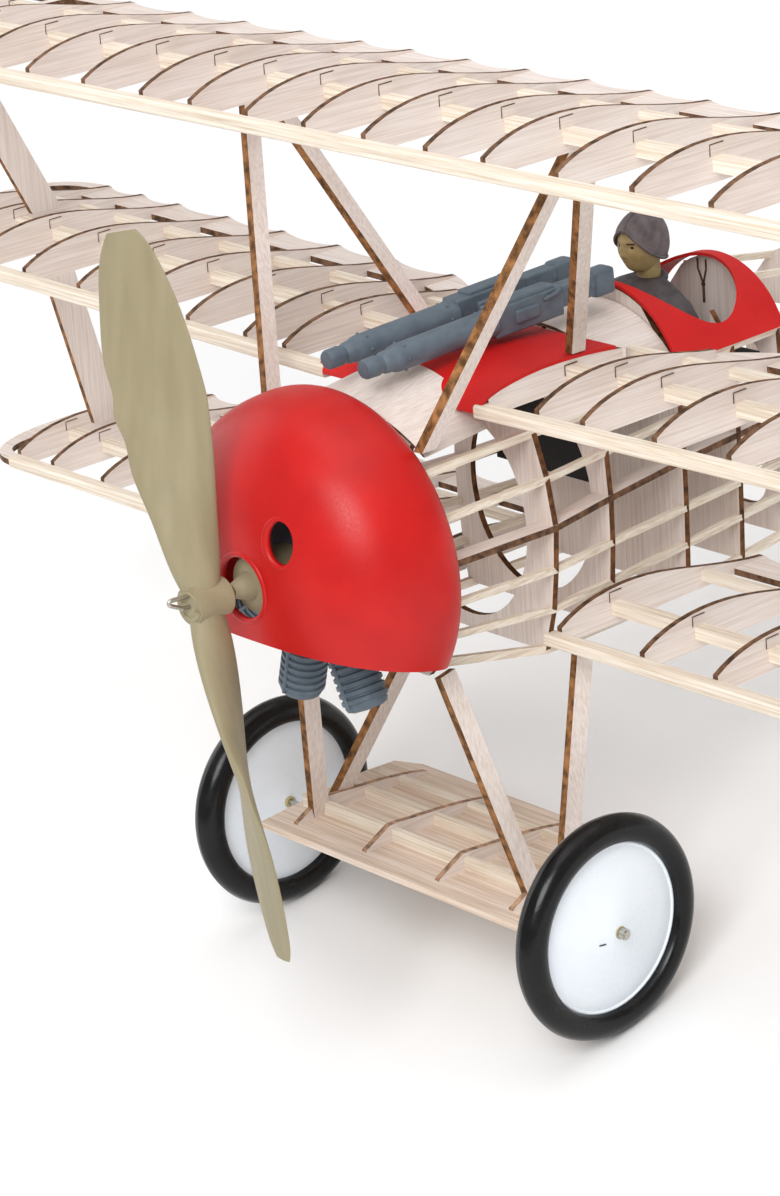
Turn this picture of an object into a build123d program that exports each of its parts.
"""Stick-built balsa model of a rotary-engined scout aeroplane with three wings and an axle wing.

Everything is drawn level, in the model's own datum: millimetres, +X towards the nose, +Y to the
pilot's left (port), +Z up, with X = 0 at the firewall's front face and Z = 0 on the propeller's
axis.  At the end the whole model is pitched onto its wheels and tail skid and put on Z = 0.
"""

import os
from math import acos, asin, atan2, cos, degrees, hypot, radians, sin

from build123d import *

os.makedirs("parts", exist_ok=True)

# ---------------------------------------------------------------- driving dimensions
SHEET = 1.6                 # balsa sheet
STRIP = 3.2                 # square strip of the leading edges and main spars
STICK = 1.6                 # square stringer
CHORD = 71.0                # every wing
GAP = 0.2                   # glue line left between pieces that meet at a slant
ROOT_Y = 26.0               # the wings start at the fuselage's sides

# wing: leading edge x and z at the root, root y, half-span, dihedral in degrees,
# distances of the two spars behind the leading edge, and the ribs' y places
WINGS = {
    "top": dict(x=7.0, z=97.4, root=0.0, span=254.0, dihedral=0.0, spars=(27, 49),
                ribs=(0, 20, 40, 58, 80, 102, 124, 148, 170, 192, 214, 234)),
    "middle": dict(x=-17.0, z=33.2, root=ROOT_Y, span=220.0, dihedral=1.1, spars=(29, 49),
                   ribs=(27, 43.5, 58, 80, 102, 124, 147, 168, 184, 199)),
    "bottom": dict(x=-34.0, z=-26.3, root=ROOT_Y, span=202.0, dihedral=0.5, spars=(21, 50),
                   ribs=(28, 55, 78, 100, 123, 146, 168, 183)),
}
# height of a rib's top above the chord line, against the distance behind the leading edge
CAMBER = ((3.2, 2.6), (8, 4.9), (15, 6.8), (24, 7.7), (33, 7.3), (43, 5.7), (54, 3.5), (70, 1.2))
EDGE_U = 60.0               # front of the trailing edge sheet
SCALLOP = 2.4               # depth of the trailing edge between two ribs
TIP_BAND = 4.5              # width of the bent wing tips
AILERON_Y = 150.0           # the ailerons reach from here to the tips
AILERON_U = 52.5
HORN_U = 36.0               # front of the aileron's balance area

FIREWALL_R = 34.8
COWL_L = 32.0
COWL_R = 40.0               # where the cowl is widest
COWL_RIM_R = 37.4           # at its rear rim
COWL_WIDEST_X = 6.0
COWL_WALL = 1.2
COWL_FLANGE = 3.2           # width of the turned-in rim that sits on the firewall
COWL_OPENING_R = 7.3
SHAFT_R = 0.5
SHAFT_BORE_R = 0.57
HUB_X = 42.9                # the blades' pitch axis
HUB_REAR_X = 37.5
HUB_R = 4.4
HUB_L = 9.4
NOSE_FACE_X = 29.4
NOSE_CONE_L = 5.6
PROP_ANGLE = 11.9           # how far the propeller is turned from upright, about +X
# blade sections from the root to the tip: radius, chord, thickness, pitch angle in degrees
BLADE = (
    (2.5, 8.4, 6.4, 78), (8, 11.6, 6.2, 74), (15, 13.6, 5.6, 67), (23, 15.8, 4.8, 57), (33, 19.0, 3.8, 45),
    (44, 22.4, 2.8, 33), (54, 23.0, 2.2, 25.5), (63, 21.8, 1.8, 22), (72, 18.4, 1.5, 20), (79, 14.0, 1.2, 18),
    (83.6, 8.0, 1.0, 17),
)

GEAR_STRUT = (4.8, 2.2)     # width fore and aft, thickness
CABANE_STRUT = (4.0, 2.4)
AXLE_WING_X = (-3.0, -52.6)
AXLE_WING_Z = -81.6         # top of its sheet
AXLE_WING_HALF = 49.5
AXLE_X, AXLE_Z = -19.0, -84.0
AXLE_R = 0.8
AXLE_REACH = 6.8            # from the middle of a wheel out to the axle's end
BUSH_R = 1.5
TYRE_R = 26.9
TYRE_TUBE_R = 3.7
WHEEL_Y = 57.6
DISC_R = 20.4
SKID_TIP = (-346.0, -38.0)
SKID_FOOT = 6.0             # length of the flat foot

ENGINE_X = 10.0
CYLINDER_R = 5.6
CYLINDER_CORE_R = 4.6
CRANKCASE_R = 14.0

GUN_Y, GUN_Z = 6.4, 43.1
GUN_TILT = 2.3              # degrees, grips up, about the muzzle
MUZZLE_X = -2.5
FLOOR_Z, FLOOR_T = 19.0, 0.8
HEAD = (-97.0, 0.0, 50.0)
STRUT_Y = 171.0
HINGE_U = 51.2              # aileron hinge line behind the leading edge
TAIL_Z = 17.4
TAIL_HINGE_X = -321.0
RUDDER_X = -331.0

# fuselage stations: x, then the port side's corners as (y, z) from the bottom one up
STATIONS = {
    -1.7: ((24.0, -22.8), (30.8, -14.6), (33.2, -6.4), (33.8, 3.2), (31.4, 13.0), (25.6, 22.4), (12.0, 31.8)),
    -36.0: ((25.0, -29.5), (28.0, -19.0), (29.4, -9.0), (30.2, 1.3), (28.2, 12.5), (24.6, 23.0), (14.0, 32.0)),
    -57.0: ((24.4, -29.5), (25.6, -19.0), (26.4, -9.0), (26.6, 2.0), (25.8, 13.0), (24.0, 23.0), (14.0, 32.0)),
    -84.0: ((23.2, -29.0), (23.6, -17.8), (23.8, -8.6), (23.8, 3.4), (23.4, 14.0), (22.6, 26.0), (12.5, 39.3)),
    -121.0: ((20.8, -25.9), (21.0, -15.8), (21.0, -7.4), (21.0, 4.8), (20.8, 14.6), (20.0, 26.0), (11.0, 37.4)),
    -282.0: ((7.2, -10.2), (7.3, -5.4), (7.3, -1.2), (7.3, 6.8), (7.1, 11.2), (6.7, 13.6), (3.4, 15.0)),
    -320.0: ((2.6, -7.0), (2.6, -3.2), (2.6, 0.4), (2.6, 6.4), (2.6, 9.8), (2.6, 12.2), (1.6, 13.0)),
}
# height of the round top behind the centre panel
RIDGE = {-84.0: 42.8, -121.0: 41.2, -282.0: 15.8}
FORMERS = (-36.0, -57.0, -84.0, -104.0, -121.0, -150.0, -180.0, -212.0, -246.0, -282.0)
OPEN_FORMERS = (-36.0, -57.0)
COCKPIT_FORMER = -104.0
KEEL, LONGERONS, STRINGERS, DECK_STRINGER = 3, (0, 5), (1, 2, 4), 6     # the corners they follow

pieces = {}


def keep(part, name):
    """Label a finished piece and put it on the list."""
    part.label = name
    pieces[name] = part


def side_pair():
    """Add the starboard copy of what the current part holds."""
    mirror(about=Plane.XZ)


def strip_between(start, end, width, depth):
    """A straight stick between two points; its width lies along X as nearly as it can."""
    run = Vector(*end) - Vector(*start)
    plane = Plane(origin=start, x_dir=Vector(1, 0, 0) - run * (run.X / run.length**2), z_dir=run)
    with BuildSketch(plane) as section:
        Rectangle(width, depth)
    extrude(section.sketch, amount=run.length)


def between(table, x):
    """A table's entry at x, in a straight line between its two nearest stations."""
    places = sorted(table)
    if not places[0] <= x <= places[-1]:
        return None
    after = min(place for place in places if place >= x)
    before = max(place for place in places if place <= x)
    share = 0.0 if after == before else (x - before) / (after - before)
    first, last = table[before], table[after]
    if isinstance(first, float):
        return first + (last - first) * share
    return tuple((a[0] + (b[0] - a[0]) * share, a[1] + (b[1] - a[1]) * share) for a, b in zip(first, last))


def polygon(points):
    """A closed straight-sided face, drawn where its points say."""
    return Polygon(*points, align=None)


# ---------------------------------------------------------------- wings
def rib_plane(wing, y):
    """Plane of the rib at y: local x runs aft from the leading edge and local y up."""
    slope = radians(wing["dihedral"])
    z = wing["z"] + (y - wing["root"]) * sin(slope)
    return Plane(origin=(wing["x"], y, z), x_dir=(-1, 0, 0), z_dir=(0, cos(slope), sin(slope)))


def panel_plane(wing):
    """Chord plane of the port panel: local x runs aft and local y outboard from y = 0."""
    slope = radians(wing["dihedral"])
    z = wing["z"] - wing["root"] * sin(slope)
    return Plane(origin=(wing["x"], 0, z), x_dir=(-1, 0, 0), z_dir=(0, sin(slope), -cos(slope)))


def top_at(u):
    """Height of the upper surface at a distance u behind the leading edge."""
    for (u0, t0), (u1, t1) in zip(CAMBER, CAMBER[1:]):
        if u <= u1:
            return t0 + (t1 - t0) * (u - u0) / (u1 - u0)
    return CAMBER[-1][1]


def rib_end(name, y):
    """How far aft a rib reaches, and whether it sits on the trailing edge sheet."""
    if name == "middle" and y < 30:
        return 45.0
    if name == "middle" and y < 50:
        return 58.5
    if name == "top" and y > AILERON_Y:
        return 49.0
    return CHORD - 0.8


def flattened(t):
    """Height under the sheet that covers the middle wing's centre."""
    return 1.05 + 0.56 * t


def rib_profile(end, covered=False):
    """Outline of a rib behind the leading edge strip; a covered rib is lower."""
    top = [(u, t) for u, t in CAMBER if u < end - 4] + [(end, top_at(end))]
    if covered:
        top = [(u, flattened(t)) for u, t in top]
    with BuildLine() as outline:
        upper = Spline(*top)
        if end > EDGE_U:
            Polyline(upper @ 1, (end, SHEET / 2), (EDGE_U, SHEET / 2), (EDGE_U, -SHEET / 2),
                     (STRIP, -STRIP / 2), upper @ 0)
        else:
            Polyline(upper @ 1, (end, -SHEET / 2), (STRIP, -STRIP / 2), upper @ 0)
    make_face(outline.edges())


def spar_boxes(wing):
    """Places of the spars as (distance aft, height of the centre, width, depth)."""
    front, rear = wing["spars"]
    return ((front, 2.6, STRIP, STRIP), (rear, 2.1, STICK * 1.5, STICK * 1.5))


def half_length(wing):
    """From the root to the last rib."""
    return wing["ribs"][-1] + SHEET / 2


def wing_spars(name, wing):
    """Two full-length spars for each panel."""
    with BuildPart() as spars:
        for u, t, width, depth in spar_boxes(wing):
            with BuildSketch(rib_plane(wing, wing["root"])):
                with Locations((u, t)):
                    Rectangle(width, depth)
            extrude(amount=half_length(wing) - wing["root"])
        side_pair()
    keep(spars.part, name + "_spars")
    return spars.part


def wing_leading_edge(name, wing):
    """Square strip with its front corners rounded off."""
    with BuildPart() as edge:
        with BuildSketch(rib_plane(wing, wing["root"])):
            with Locations((STRIP / 2, 0)):
                Rectangle(STRIP, STRIP)
        extrude(amount=half_length(wing) - wing["root"])
        front = edge.edges().filter_by(lambda e: e.center().X > wing["x"] - 0.1 and e.length > 50)
        fillet(front, 0.8)
        side_pair()
    keep(edge.part, name + "_leading_edge")


def scalloped_edge(stations, last):
    """Rear outline of a trailing edge, dipping between the ribs."""
    for y0, y1 in zip(stations, stations[1:]):
        ThreePointArc((CHORD, y0), (CHORD - SCALLOP, (y0 + y1) / 2), (CHORD, y1))
    Line((CHORD, stations[-1]), (CHORD, last))


def wing_trailing_edge(name, wing):
    """Flat sheet with a hollow between every two ribs; the middle wing's root is cut away."""
    outer = half_length(wing) if name != "top" else AILERON_Y - 1.0
    inner = wing["ribs"][2] if name == "middle" else wing["ribs"][0]
    stations = [inner] + [y for y in wing["ribs"] if inner < y <= outer]
    with BuildPart() as edge:
        with BuildSketch(panel_plane(wing)):
            with BuildLine():
                scalloped_edge(stations, outer)
                Polyline((CHORD, outer), (EDGE_U, outer), (EDGE_U, inner), (CHORD, inner))
            make_face()
        extrude(amount=SHEET / 2, both=True)
        if name == "middle":
            with BuildSketch(panel_plane(wing)):
                with BuildLine():
                    root = wing["ribs"][0] - SHEET / 2
                    outside = ThreePointArc((45, root), (59, 38), (CHORD, wing["ribs"][2]))
                    inside = ThreePointArc((EDGE_U, wing["ribs"][2]), (54, 42), (41, root))
                    Line(outside @ 1, inside @ 0)
                    Line(inside @ 1, outside @ 0)
                make_face()
            extrude(amount=SHEET / 2, both=True)
        side_pair()
    keep(edge.part, name + "_trailing_edge")
    return edge.part


def wing_ribs(name, wing, *cutters):
    """All ribs of a wing, notched for the pieces that run through them."""
    with BuildPart() as ribs:
        for y in wing["ribs"]:
            end = rib_end(name, y)
            with BuildSketch(rib_plane(wing, y)):
                rib_profile(end, covered=name == "middle" and y < 30)
            extrude(amount=SHEET / 2, both=True)
        if name != "top":
            side_pair()
        else:
            for y in wing["ribs"][1:]:
                with BuildSketch(rib_plane(wing, -y)):
                    rib_profile(rib_end(name, y))
                extrude(amount=SHEET / 2, both=True)
        for cutter in cutters:
            add(cutter, mode=Mode.SUBTRACT)
    keep(ribs.part, name + "_ribs")


def tip_outline(span, base, rear, inset):
    """Bent tip from the leading edge round to the rear, moved in by the inset."""
    base += GAP / 4
    reach = span - base
    return Spline((inset, base), (inset + 2.5, base + 0.42 * reach), (14 + inset, span - 0.16 * reach - inset),
                  (rear * 0.56, span - inset), (rear * 0.86, span - 0.1 * reach - inset), (rear - inset, base))


def wing_tips(name, wing):
    """Sheet bands that carry the outline round from the leading to the trailing edge."""
    base = half_length(wing)
    rear = CHORD if name != "top" else 48.0
    with BuildPart() as tips:
        with BuildSketch(panel_plane(wing)):
            with BuildLine():
                outer = tip_outline(wing["span"], base, rear, 0)
                inner = tip_outline(wing["span"], base, rear, TIP_BAND)
                Line(outer @ 0, inner @ 0)
                Line(outer @ 1, inner @ 1)
            make_face()
        extrude(amount=SHEET / 2, both=True)
        side_pair()
    keep(tips.part, name + "_tips")


def build_wing(name, wing):
    """One wing with its five groups of pieces."""
    wing_leading_edge(name, wing)
    spars = wing_spars(name, wing)
    trailing_edge = wing_trailing_edge(name, wing)
    wing_ribs(name, wing, spars, trailing_edge)
    wing_tips(name, wing)


def build_aileron(name, side):
    """Laser-cut frame with a balance horn at the tip."""
    wing = WINGS["top"]
    tip = wing["span"]
    bars = [y for y in wing["ribs"] if y >= AILERON_Y + 10]
    horn_y = half_length(wing) + 1.6
    with BuildPart() as aileron:
        with BuildSketch(panel_plane(wing)):
            with BuildLine():
                scalloped_edge([AILERON_Y] + bars, tip - 6)
                Polyline((CHORD, tip - 6), (CHORD - 4, tip - 1.5), (HORN_U + 16, tip), (HORN_U + 16, tip - 2.5),
                         (HORN_U + 16, horn_y), (AILERON_U, horn_y), (AILERON_U, AILERON_Y), (CHORD, AILERON_Y))
            make_face()
            for y0, y1 in zip([AILERON_Y] + bars, bars + [horn_y + 6]):
                with Locations(((AILERON_U + CHORD - SCALLOP) / 2 - 0.4, (y0 + y1) / 2)):
                    Rectangle(CHORD - SCALLOP - AILERON_U - 7.4, y1 - y0 - 3.2, mode=Mode.SUBTRACT)
        extrude(amount=SHEET / 2 + 0.2, both=True)
        if side < 0:
            mirror(about=Plane.XZ, mode=Mode.REPLACE)
    keep(aileron.part, name)


def build_aileron_hinges():
    """Soft wire staples between the rear spar and the ailerons' front bars."""
    wing = WINGS["top"]
    with BuildPart() as hinges:
        for y in (158.0, 190.0, 222.0):
            with BuildSketch(Plane.XZ.offset(-y)):
                with Locations((wing["x"] - HINGE_U, wing["z"])):
                    Circle(0.75)
            extrude(amount=5)
        side_pair()
    keep(hinges.part, "aileron_hinges")


# ---------------------------------------------------------------- struts and axle wing
def build_interplane_struts():
    """Wide boards between the wings, one pair below and one pair above the middle wing."""
    middle, bottom, top = WINGS["middle"], WINGS["bottom"], WINGS["top"]
    reach = STRUT_Y - ROOT_Y
    bottom_z = bottom["z"] + reach * sin(radians(bottom["dihedral"]))
    middle_z = middle["z"] + reach * sin(radians(middle["dihedral"]))
    legs = (
        ((bottom["x"] - 25, bottom_z + 8.1), (middle["x"] - 29, middle_z - 1.4)),
        ((middle["x"] - 29, middle_z + 8.1), (top["x"] - 27, top["z"] - 1.4)),
    )
    with BuildPart() as struts:
        for (x0, z0), (x1, z1) in legs:
            slant = (x1 - x0) / (z1 - z0)
            with BuildSketch(Plane.XZ.offset(-STRUT_Y)):
                polygon([(x0 - 4.6, z0), (x0 + 4.6, z0), (x1 + 4.6 - slant, z1), (x1 - 4.6 - slant, z1)])
            extrude(amount=-SHEET)
        side_pair()
    keep(struts.part, "interplane_struts")


def build_cabane_struts():
    """Two raked struts a side from the fuselage to the top wing's front spar."""
    with BuildPart() as struts:
        strip_between((-49.5, 25.0, 37.0), (-28.6, 55.4, 97.0), *CABANE_STRUT)
        split(bisect_by=Plane.XY.offset(39.6), keep=Keep.TOP)
        strip_between((-0.9, 25.4, 26.0), (-25.2, 55.4, 97.0), *CABANE_STRUT)
        split(bisect_by=Plane.XY.offset(28.4), keep=Keep.TOP)
        split(bisect_by=Plane.XY.offset(WINGS["top"]["z"] - STRIP / 2 - GAP), keep=Keep.BOTTOM)
        side_pair()
    keep(struts.part, "cabane_struts")


def build_gear_struts():
    """Vees of sheet strip from the fuselage's bottom corners to the axle wing."""
    with BuildPart() as struts:
        strip_between((-4.0, 25.2, -25.4), (-15.4, 38.9, -82.5), *GEAR_STRUT)
        strip_between((-46.4, 25.6, -31.4), (-21.6, 41.4, -82.5), *GEAR_STRUT)
        split(bisect_by=Plane.XY.offset(AXLE_WING_Z), keep=Keep.TOP)
        side_pair()
    keep(struts.part, "gear_struts")


def build_axle_wing():
    """Bottom sheet with rounded rear corners, three spars and wedge-nosed ribs."""
    front, rear = AXLE_WING_X
    top, half = AXLE_WING_Z, AXLE_WING_HALF
    with BuildPart() as sheet:
        with BuildSketch(Plane.XY.offset(top - SHEET)):
            polygon([(front, half - 3), (front - 34, half + 1.5), (rear + 3, half + 0.5), (rear, half - 7),
                     (rear, 7 - half), (rear + 3, -half - 0.5), (front - 34, -half - 1.5), (front, 3 - half)])
        extrude(amount=SHEET)
    keep(sheet.part, "axle_wing_sheet")

    with BuildPart() as spars:
        for x, height in ((front - 13.6, 3.4), (front - 27, 2.8), (front - 38, 2.0)):
            with BuildSketch(Plane.XZ.offset(-half + 4)):
                with Locations((x, top + height / 2)):
                    Rectangle(STICK, height)
            extrude(amount=2 * half - 8)
        add(pieces["gear_struts"], mode=Mode.SUBTRACT)
    keep(spars.part, "axle_wing_spars")

    with BuildPart() as ribs:
        for y in (-38.4, -13.0, 13.0, 38.4):
            with BuildSketch(Plane.XZ.offset(-y)):
                with BuildLine():
                    upper = Spline((front - 14.4, top + 4.4), (front - 24, top + 3.6), (front - 36, top + 2.4),
                                   (rear + 3, top + 0.5))
                    Polyline(upper @ 1, (rear + 3, top), (front - 4.5, top), (front - 4.5, top + 0.4),
                             (front - 12.4, top + 4.4), upper @ 0)
                make_face()
            extrude(amount=STICK / 2, both=True)
        add(spars.part, mode=Mode.SUBTRACT)
        add(pieces["gear_struts"], mode=Mode.SUBTRACT)
    keep(ribs.part, "axle_wing_ribs")


def build_axle():
    """Music-wire axle under the axle wing, its two bearers and the collars outside the wheels."""
    reach = WHEEL_Y + AXLE_REACH
    with BuildPart() as axle:
        with BuildSketch(Plane.XZ.offset(-reach)):
            with Locations((AXLE_X, AXLE_Z)):
                Circle(AXLE_R)
        extrude(amount=2 * reach)
    keep(axle.part, "axle")

    with BuildPart() as bearers:
        for y in (38.4, -38.4):
            with BuildSketch(Plane.XZ.offset(-y)):
                with Locations((AXLE_X, AXLE_Z - 0.8)):
                    Rectangle(9, 3.2)
                with Locations((AXLE_X, AXLE_Z)):
                    Circle(AXLE_R, mode=Mode.SUBTRACT)
                with Locations((AXLE_X, AXLE_Z + AXLE_R)):
                    Rectangle(2 * AXLE_R, 2 * AXLE_R, mode=Mode.SUBTRACT)
            extrude(amount=2.4, both=True)
    keep(bearers.part, "axle_bearers")

    with BuildPart() as collars:
        for y in (WHEEL_Y + 5.9, -WHEEL_Y - 5.9):
            with BuildSketch(Plane.XZ.offset(-y)):
                with Locations((AXLE_X, AXLE_Z)):
                    Circle(1.35)
                    Circle(AXLE_R, mode=Mode.SUBTRACT)
            extrude(amount=0.6, both=True)
    keep(collars.part, "axle_collars")


def build_wheel(side_name, side):
    """Moulded tyre, two cone-shaped discs and a bush that turns on the axle."""
    hub_plane = Plane(origin=(AXLE_X, side * WHEEL_Y, AXLE_Z), x_dir=(1, 0, 0), z_dir=(0, side, 0))
    with BuildPart() as tyre:
        with BuildSketch(Plane(hub_plane.origin, x_dir=(1, 0, 0), z_dir=(0, 0, 1))):
            with Locations((TYRE_R - TYRE_TUBE_R, 0)):
                Circle(TYRE_TUBE_R)
            with Locations((DISC_R - 1.5, 0)):
                Rectangle(3, 9, mode=Mode.SUBTRACT)
        revolve(axis=Axis(hub_plane.origin, (0, 1, 0)))
    keep(tyre.part, "tyre_" + side_name)

    with BuildPart() as discs:
        for face, rise in ((1, 4.6), (-1, 2.6)):
            with BuildSketch(Plane(hub_plane.origin, x_dir=(1, 0, 0), z_dir=(0, 0, side))):
                polygon([(BUSH_R, face * rise), (DISC_R, face * 0.9), (DISC_R, 0), (DISC_R - 0.9, 0),
                         (BUSH_R, face * (rise - 0.8))])
            revolve(axis=Axis(hub_plane.origin, (0, 1, 0)))
    keep(discs.part, "wheel_discs_" + side_name)

    with BuildPart() as bush:
        with BuildSketch(hub_plane.offset(-3.2)):
            Circle(BUSH_R)
            Circle(AXLE_R + 0.06, mode=Mode.SUBTRACT)
        extrude(amount=8.2)
    keep(bush.part, "wheel_bush_" + side_name)


# ---------------------------------------------------------------- fuselage
def build_stringers():
    """Flat side keels, longerons and stringers that run from the firewall to the stern."""
    def run(corner, width, height, places=tuple(sorted(STATIONS))):
        sections = []
        for x in places:
            y, z = between(STATIONS, x)[corner]
            fitted = min(width, y - 0.2)
            with BuildSketch(Plane(origin=(x, 0, 0), x_dir=(0, 1, 0), z_dir=(1, 0, 0))) as section:
                with Locations((y - fitted / 2, z)):
                    Rectangle(fitted, height)
            sections.append(section.sketch)
        loft(sections, ruled=True)

    with BuildPart() as keels:
        run(KEEL, 5.0, SHEET)
        side_pair()
    keep(keels.part, "side_keels")
    with BuildPart() as longerons:
        for corner in LONGERONS:
            run(corner, STICK, STICK + 0.4)
        side_pair()
    keep(longerons.part, "longerons")
    with BuildPart() as stringers:
        for corner in STRINGERS:
            run(corner, STICK, STICK)
        run(DECK_STRINGER, STICK - 0.3, STICK, places=(-246.0, -121.0))
        side_pair()
    keep(stringers.part, "stringers")


def former_outline(points, ridge):
    """Full outline of a former from its port half, with a round top if it has a ridge."""
    port = list(points)
    starboard = [(-y, z) for y, z in reversed(points)]
    Polyline(*port)
    Polyline(*starboard)
    Line(starboard[-1], port[0])
    if ridge is None:
        Line(port[-1], starboard[0])
    else:
        ThreePointArc(port[-1], (0, ridge), starboard[0])


def build_formers():
    """Sheet formers, hollow where the pilot and the guns' mounting leave no bulkhead."""
    with BuildPart() as formers:
        for x in FORMERS:
            points = between(STATIONS, x)
            limb = 7.4 + (x + 36) * 0.02
            with BuildSketch(Plane(origin=(x, 0, 0), x_dir=(0, 1, 0), z_dir=(1, 0, 0))):
                with BuildLine():
                    former_outline(points, between(RIDGE, x))
                make_face()
                if x in OPEN_FORMERS:
                    with Locations((0, -1)):
                        Ellipse(21.0, 25.0, mode=Mode.SUBTRACT)
                elif x == COCKPIT_FORMER:
                    with Locations((0, 34)):
                        Rectangle(30, 30, mode=Mode.SUBTRACT)
                elif points[0][0] - limb > 3 and x < COCKPIT_FORMER:
                    half = points[0][0] - limb
                    low, high = points[0][1] + limb, points[5][1] - limb / 2
                    with Locations((0, (low + high) / 2)):
                        RectangleRounded(2 * half, high - low, min(half, (high - low) / 2) * 0.45,
                                         mode=Mode.SUBTRACT)
            extrude(amount=SHEET / 2, both=True)
        for name in ("side_keels", "longerons", "stringers", "middle_spars", "bottom_spars",
                     "bottom_leading_edge"):
            add(pieces[name], mode=Mode.SUBTRACT)
    keep(formers.part, "formers")


def build_firewall():
    """Round front former that carries the engine and the cowl."""
    with BuildPart() as firewall:
        with BuildSketch(Plane.YZ.offset(-SHEET)):
            Circle(FIREWALL_R)
            with Locations((0, -40)):
                Rectangle(90, 30, mode=Mode.SUBTRACT)
            Circle(SHAFT_BORE_R, mode=Mode.SUBTRACT)
        extrude(amount=SHEET)
    keep(firewall.part, "firewall")


def curved_skin(front, rear, thickness):
    """Sheet between two stations, each given as x, half-width, side height and ridge height."""
    faces = []
    for x, half, side_z, ridge in (front, rear):
        with BuildSketch(Plane(origin=(x, 0, 0), x_dir=(0, 1, 0), z_dir=(1, 0, 0))) as face:
            with BuildLine():
                outer = ThreePointArc((half, side_z), (0, ridge), (-half, side_z))
                inner = ThreePointArc((half - thickness, side_z), (0, ridge - thickness),
                                      (-half + thickness, side_z))
                Line(outer @ 0, inner @ 0)
                Line(outer @ 1, inner @ 1)
            make_face()
        faces.append(face.sketch)
    loft(faces, ruled=True)


def build_decks():
    """Bent sheet over the nose, and behind the middle wing."""
    with BuildPart() as decks:
        curved_skin((-SHEET, 26.6, 26.8, 35.2), (-22.0, 25.0, 28.0, 39.0), 0.8)
        curved_skin((-62.6, 23.6, 29.4, 38.4), (-83.0, 22.6, 28.6, 39.6), 0.8)
    keep(decks.part, "decks")


def build_centre_panel():
    """Bent sheet that covers the middle wing's centre."""
    wing = WINGS["middle"]
    curve = [(0.0, 0.4), (2.2, 2.7)] + [(u, flattened(t) + 0.85) for u, t in CAMBER[1:6]]
    with BuildPart() as panel:
        with BuildSketch(Plane(origin=(wing["x"], 0, wing["z"]), x_dir=(-1, 0, 0), z_dir=(0, 1, 0))):
            with BuildLine():
                upper = Spline(*curve)
                lower = Spline(*[(u, t - 0.8) for u, t in curve])
                Line(upper @ 0, lower @ 0)
                Line(upper @ 1, lower @ 1)
            make_face()
        extrude(amount=ROOT_Y + 1.8, both=True)
        add(pieces["middle_leading_edge"], mode=Mode.SUBTRACT)
        add(pieces["decks"], mode=Mode.SUBTRACT)
    keep(panel.part, "centre_panel")


def build_coaming():
    """Red skin round the oval cockpit opening."""
    with BuildPart() as coaming:
        curved_skin((-83.4, 23.6, 27.0, 43.8), (-121.6, 21.6, 27.0, 42.2), 0.8)
        with BuildSketch(Plane.XY.offset(20)):
            with Locations((-101.6, 0)):
                Ellipse(16.6, 20.0)
        extrude(amount=40, mode=Mode.SUBTRACT)
    keep(coaming.part, "cockpit_coaming")
    with BuildPart() as liner:
        with BuildSketch(Plane.XY.offset(FLOOR_Z)):
            with Locations((-102.4, 0)):
                Rectangle(35.0, 29.6)
        extrude(amount=FLOOR_T)
        with BuildSketch(Plane(origin=(-62, 0, 0), x_dir=(0, 1, 0), z_dir=(1, 0, 0))):
            with Locations((0, 18)):
                Rectangle(34, 31.4)
        extrude(amount=0.6)
        add(pieces["formers"], mode=Mode.SUBTRACT)
    keep(liner.part, "cockpit_liner")


# ---------------------------------------------------------------- nose
def cowl_curve(wall, rear):
    """Cowl profile from its rear rim, swelling a little and then rounded to a flat front."""
    radius = COWL_R - wall
    depth = COWL_L - COWL_WIDEST_X - wall
    points = []
    for x in (rear, (rear + COWL_WIDEST_X) / 2):
        points.append((x, radius - (COWL_R - COWL_RIM_R) * (1 - x / COWL_WIDEST_X) ** 2))
    opening_turn = acos((COWL_OPENING_R / radius) ** 1.5)
    for n in range(13):
        turn = opening_turn * (n / 12) ** 1.2
        points.append((COWL_WIDEST_X + depth * sin(turn) ** (1 / 1.3), radius * cos(turn) ** (2 / 3)))
    return points


def build_cowl():
    """Thin moulded shell with two cooling holes, a shaft opening and an open bottom."""
    with BuildPart() as cowl:
        with BuildSketch(Plane.XY):
            with BuildLine():
                outer = Spline(*cowl_curve(0, 0))
                inner = Spline(*cowl_curve(COWL_WALL, COWL_WALL))
                Line(outer @ 1, inner @ 1)
                Polyline(outer @ 0, (0, COWL_RIM_R - COWL_FLANGE), (COWL_WALL, COWL_RIM_R - COWL_FLANGE),
                         inner @ 0)
            make_face()
        revolve(axis=Axis.X)
        with BuildSketch(Plane.XZ):
            polygon([(-2, -21.4), (COWL_L + 2, -11.6), (COWL_L + 2, -50), (-2, -50)])
        extrude(amount=60, both=True, mode=Mode.SUBTRACT)
        with BuildSketch(Plane.YZ.offset(COWL_L / 2)):
            with Locations((13.4, 13.0), (-13.4, 13.0)):
                Ellipse(4.0, 5.0)
        extrude(amount=COWL_L, mode=Mode.SUBTRACT)
    keep(cowl.part, "cowl")


def build_engine():
    """Dummy rotary: a crankcase drum with nine finned cylinders."""
    with BuildPart() as crankcase:
        with BuildSketch(Plane.YZ):
            Circle(CRANKCASE_R)
            Circle(SHAFT_BORE_R, mode=Mode.SUBTRACT)
        extrude(amount=18)
    keep(crankcase.part, "crankcase")


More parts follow.
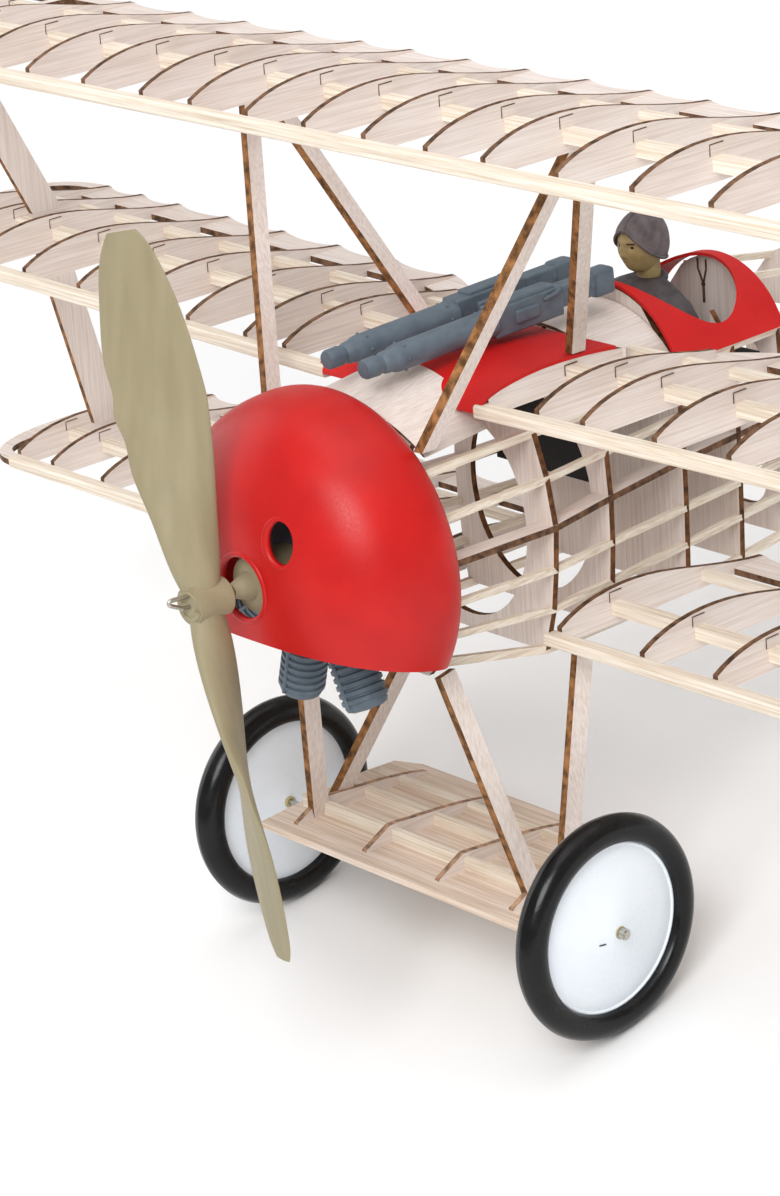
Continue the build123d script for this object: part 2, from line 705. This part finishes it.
def build_cylinders():
    """Nine cylinders on 40 degree spacing, each turned from one finned profile."""
    profile = [(0, CRANKCASE_R + 0.6), (CYLINDER_CORE_R, CRANKCASE_R + 0.6)]
    for z in [17.0 + 3.1 * n for n in range(6)]:
        profile += [(CYLINDER_CORE_R, z), (CYLINDER_R, z), (CYLINDER_R, z + 1.4), (CYLINDER_CORE_R, z + 1.4)]
    profile += [(CYLINDER_CORE_R, 35.0), (2.6, 35.6), (0, 35.6)]
    with BuildPart() as cylinders:
        for n in range(9):
            angle = 180 - 16.2 + 40 * n
            plane = Plane(origin=(ENGINE_X, 0, 0), x_dir=(1, 0, 0),
                          z_dir=(0, -cos(radians(angle)), sin(radians(angle))))
            with BuildSketch(plane):
                polygon([(x, -z) for x, z in profile])
            revolve(axis=Axis((ENGINE_X, 0, 0), plane.y_dir))
    keep(cylinders.part, "cylinders")


def build_nose_button():
    """Plug in front of the crankcase, with a cone that carries the propeller shaft."""
    with BuildPart() as button:
        with BuildSketch(Plane.XY):
            polygon([(18, SHAFT_BORE_R), (18, 6.7), (NOSE_FACE_X - 0.6, 6.7), (NOSE_FACE_X, 6.2),
                     (NOSE_FACE_X + 0.7, 3.4), (NOSE_FACE_X + NOSE_CONE_L, 1.6),
                     (NOSE_FACE_X + NOSE_CONE_L, SHAFT_BORE_R)])
        revolve(axis=Axis.X)
    keep(button.part, "nose_button")


def build_propeller():
    """Two-blade moulded propeller, its wire shaft folded back at the front, and a spacer."""
    with BuildPart() as blade:
        for r, chord, thickness, pitch in BLADE:
            with BuildSketch(Plane(origin=(HUB_X, 0, r), x_dir=(1, 0, 0), z_dir=(0, 0, 1))):
                Ellipse(chord / 2, thickness / 2, rotation=pitch - 90)
        loft()
    with BuildPart() as propeller:
        add(blade.part)
        add(blade.part.rotate(Axis.X, 180))
        with BuildSketch(Plane.YZ.offset(HUB_REAR_X)):
            Circle(HUB_R)
        extrude(amount=HUB_L)
        with BuildSketch(Plane.YZ.offset(HUB_REAR_X - 1)):
            Circle(SHAFT_R)
        extrude(amount=HUB_L + 2, mode=Mode.SUBTRACT)
    keep(propeller.part.rotate(Axis.X, PROP_ANGLE), "propeller")

    hub_front = HUB_REAR_X + HUB_L
    with BuildPart() as shaft:
        with BuildLine() as wire:
            FilletPolyline((-8, 0, 0), (hub_front + 1.7, 0, 0), (hub_front + 8, 0, 3.0),
                           (hub_front + 0.1, 0, 2.5), radius=0.6)
        with BuildSketch(Plane.YZ.offset(-8)):
            Circle(SHAFT_R)
        sweep(path=wire.wires()[0])
    keep(shaft.part, "propeller_shaft")

    with BuildPart() as spacer:
        with BuildSketch(Plane.YZ.offset(NOSE_FACE_X + NOSE_CONE_L + 0.3)):
            Circle(1.3)
            Circle(SHAFT_R, mode=Mode.SUBTRACT)
        extrude(amount=2.1)
    keep(spacer.part, "propeller_spacer")


# ---------------------------------------------------------------- guns and pilot
def build_gun(name, side):
    """Air-cooled machine gun: muzzle booster, fat jacket, receiver, grips and cocking lever."""
    y = side * GUN_Y
    muzzle = (MUZZLE_X, y, GUN_Z)
    turned = ((MUZZLE_X, 2.2), (-7.0, 2.3), (-8.0, 2.0), (-9.5, 2.6), (-11.0, 2.7), (-12.5, 3.2), (-40.0, 3.3))
    profile_plane = Plane(origin=(0, y, GUN_Z), x_dir=(1, 0, 0), z_dir=(0, -1, 0))
    with BuildPart() as gun:
        with BuildSketch(profile_plane):
            polygon([(MUZZLE_X, 0)] + list(turned) + [(-40.0, 0)])
        revolve(axis=Axis((0, y, GUN_Z), (1, 0, 0)))
        with BuildSketch(profile_plane):
            polygon([(-40, -3.4), (-40, 3.6), (-46, 4.4), (-60, 4.4), (-62, 3.6), (-73, 3.2), (-73, -2.0),
                     (-62, -3.2)])
        extrude(amount=2.8, both=True)
        with BuildSketch(profile_plane):
            with Locations((-76, 0.4)):
                RectangleRounded(7, 6.6, 2.0)
        extrude(amount=2.6, both=True)
        with BuildSketch(Plane(origin=(-50, y + side * 3.6, GUN_Z + 0.4), x_dir=(1, 0, 0), z_dir=(0, -1, 0))):
            Rectangle(8, 1.6)
        extrude(amount=1.0, both=True)
    keep(gun.part.rotate(Axis(muzzle, (0, 1, 0)), GUN_TILT), name)


def build_pilot():
    """Seated bust: coat, head and close-fitting cap."""
    x, y, z = HEAD
    chest_x = x + 1.5
    levels = ((FLOOR_Z + FLOOR_T, 6.6, 12.5), (28, 7.2, 16.4), (33, 7.4, 17.4), (38.4, 6.0, 12.6),
              (z - 8.2, 3.4, 3.6))
    with BuildPart() as body:
        for level, depth, half in levels:
            with BuildSketch(Plane.XY.offset(level)):
                with Locations((chest_x, y)):
                    Ellipse(depth, half)
        loft()
    keep(body.part, "pilot_body")
    with BuildPart() as head:
        with Locations((x + 0.6, y, z)):
            Sphere(6.4)
        with BuildSketch(Plane.XY.offset(z - 8.2)):
            with Locations((x, y)):
                Circle(3.2)
        extrude(amount=4)
        with BuildSketch(Plane.XY.offset(z + 1.6)):
            with Locations((x, y)):
                Rectangle(20, 20)
        extrude(amount=10, mode=Mode.SUBTRACT)
    keep(head.part, "pilot_head")
    with BuildPart() as cap:
        with Locations((x, y, z + 0.4)):
            Sphere(7.4)
        with BuildSketch(Plane.XY.offset(z - 10)):
            with Locations((x, y)):
                Rectangle(20, 20)
        extrude(amount=11.6, mode=Mode.SUBTRACT)
    keep(cap.part, "pilot_cap")


# ---------------------------------------------------------------- tail
def build_tail():
    """Delta tailplane, one-piece elevator, round rudder and the tail skid."""
    frame = SHEET + 0.4
    with BuildPart() as tailplane:
        with BuildSketch(Plane.XY.offset(TAIL_Z - frame / 2)):
            polygon([(-262, 7), (-272, 20), (-310, 80), (TAIL_HINGE_X + 1, 84), (TAIL_HINGE_X + 1, -84),
                     (-310, -80), (-272, -20), (-262, -7)])
            for side in (1, -1):
                with BuildSketch(mode=Mode.SUBTRACT):
                    polygon([(-275, side * 14), (-283, side * 27), (-315, side * 27), (-315, side * 9),
                             (-275, side * 9)])
                with BuildSketch(mode=Mode.SUBTRACT):
                    polygon([(-286, side * 30), (-298, side * 51), (-315, side * 51), (-315, side * 30)])
                with BuildSketch(mode=Mode.SUBTRACT):
                    polygon([(-300, side * 54), (-310, side * 71), (-315, side * 75), (-315, side * 54)])
        extrude(amount=frame)
    keep(tailplane.part, "tailplane")

    with BuildPart() as elevator:
        with BuildSketch(Plane.XY.offset(TAIL_Z - frame / 2)):
            back = TAIL_HINGE_X - 1
            polygon([(back, 92), (back - 12, 93), (back - 22, 86), (back - 27, 60), (back - 27, 30),
                     (back - 22, 16), (back - 4.4, 9), (back - 4.4, -9), (back - 22, -16), (back - 27, -30),
                     (back - 27, -60), (back - 22, -86), (back - 12, -93), (back, -92)])
            for side in (1, -1):
                for y0, y1 in ((17, 36), (39, 60), (63, 84)):
                    with Locations((back - 12.5, side * (y0 + y1) / 2)):
                        Rectangle(15.5 if y0 != 63 else 12, y1 - y0, mode=Mode.SUBTRACT)
        extrude(amount=frame)
        for side in (1, -1):
            with BuildSketch(Plane.XY.offset(TAIL_Z - frame / 2)):
                polygon([(TAIL_HINGE_X - 1, side * 92), (-308, side * 94), (-306, side * 89),
                         (TAIL_HINGE_X - 1, side * 86)])
            extrude(amount=frame)
    keep(elevator.part, "elevator")

    with BuildPart() as rudder:
        with BuildSketch(Plane.XZ):
            with BuildLine():
                Spline((RUDDER_X - 1.2, -6), (RUDDER_X - 15, 2), (RUDDER_X - 26, 20), (RUDDER_X - 27, 42),
                       (RUDDER_X - 14, 60), (RUDDER_X + 2, 62), (RUDDER_X + 13, 52), (RUDDER_X + 14, 38),
                       (RUDDER_X + 6, 25), (RUDDER_X + 1.2, 22))
                Polyline((RUDDER_X + 1.2, 22), (RUDDER_X + 1.2, -6), (RUDDER_X - 1.2, -6))
            make_face()
            with Locations((RUDDER_X + 5.6, 43)):
                RectangleRounded(9, 18, 3, mode=Mode.SUBTRACT)
            for z0, z1, width in ((10, 23, 13.5), (26, 40, 19), (43, 54, 15)):
                with Locations((RUDDER_X - 2.6 - width / 2, (z0 + z1) / 2)):
                    RectangleRounded(width, z1 - z0, 2.5, mode=Mode.SUBTRACT)
        extrude(amount=frame / 2, both=True)
    keep(rudder.part, "rudder")

    with BuildPart() as sternpost:
        with BuildSketch(Plane.XZ):
            polygon([(-318.4, -8), (-318.4, 13.4), (-325.6, 13.4), (-327.6, -8)])
        extrude(amount=1.6, both=True)
        for name in ("side_keels", "longerons", "stringers"):
            add(pieces[name], mode=Mode.SUBTRACT)
    keep(sternpost.part, "sternpost")

    with BuildPart() as skid:
        tip_x, tip_z = SKID_TIP
        slope = standing_pitch()
        with BuildSketch(Plane.XZ):
            polygon([(-284, -11.0), (-300, -8.6), (-309, -9.4), (tip_x - 0.6, tip_z + 2.4), (tip_x, tip_z),
                     (tip_x + SKID_FOOT * cos(slope), tip_z - SKID_FOOT * sin(slope)), (-308, -13.4),
                     (-298, -13.0)])
        extrude(amount=1.2, both=True)
    keep(skid.part, "tail_skid")

    with BuildPart() as hinges:
        for y in (24.0, 64.0, -24.0, -64.0):
            with BuildSketch(Plane.XZ.offset(-y)):
                with Locations((TAIL_HINGE_X, TAIL_Z)):
                    Circle(0.75)
            extrude(amount=2.5, both=True)
        for z in (-2.0, 9.0):
            with BuildSketch(Plane.XY.offset(z)):
                with Locations((RUDDER_X + 2.3, 0)):
                    Rectangle(1.8, 0.8)
            extrude(amount=2.4)
    keep(hinges.part, "tail_hinges")


# ---------------------------------------------------------------- standing on the ground
def standing_pitch():
    """Nose-up angle in radians that puts the tyres and the skid's foot on one level."""
    run, drop = AXLE_X - SKID_TIP[0], AXLE_Z - SKID_TIP[1]
    return asin(TYRE_R / hypot(run, drop)) - atan2(drop, run)


def stance():
    """The pitch, and the move of the outline's bottom centre to the origin."""
    turned = Location((0, 0, 0), (0, -degrees(standing_pitch()), 0))
    whole = Compound(children=[piece.moved(turned) for piece in pieces.values()]).bounding_box()
    middle = whole.center()
    return Location((-middle.X, -middle.Y, -whole.min.Z)) * turned


for wing_name, wing_data in WINGS.items():
    build_wing(wing_name, wing_data)
build_aileron("aileron_port", 1)
build_aileron("aileron_starboard", -1)
build_aileron_hinges()
build_interplane_struts()
build_cabane_struts()
build_gear_struts()
build_axle_wing()
build_axle()
build_wheel("port", 1)
build_wheel("starboard", -1)
build_stringers()
build_formers()
build_firewall()
build_decks()
build_centre_panel()
build_coaming()
build_cowl()
build_engine()
build_cylinders()
build_nose_button()
build_propeller()
build_gun("machine_gun_port", 1)
build_gun("machine_gun_starboard", -1)
build_pilot()
build_tail()

STANCE = stance()
for piece_name, piece in pieces.items():
    export_step(piece.moved(STANCE), f"parts/{piece_name}.step")
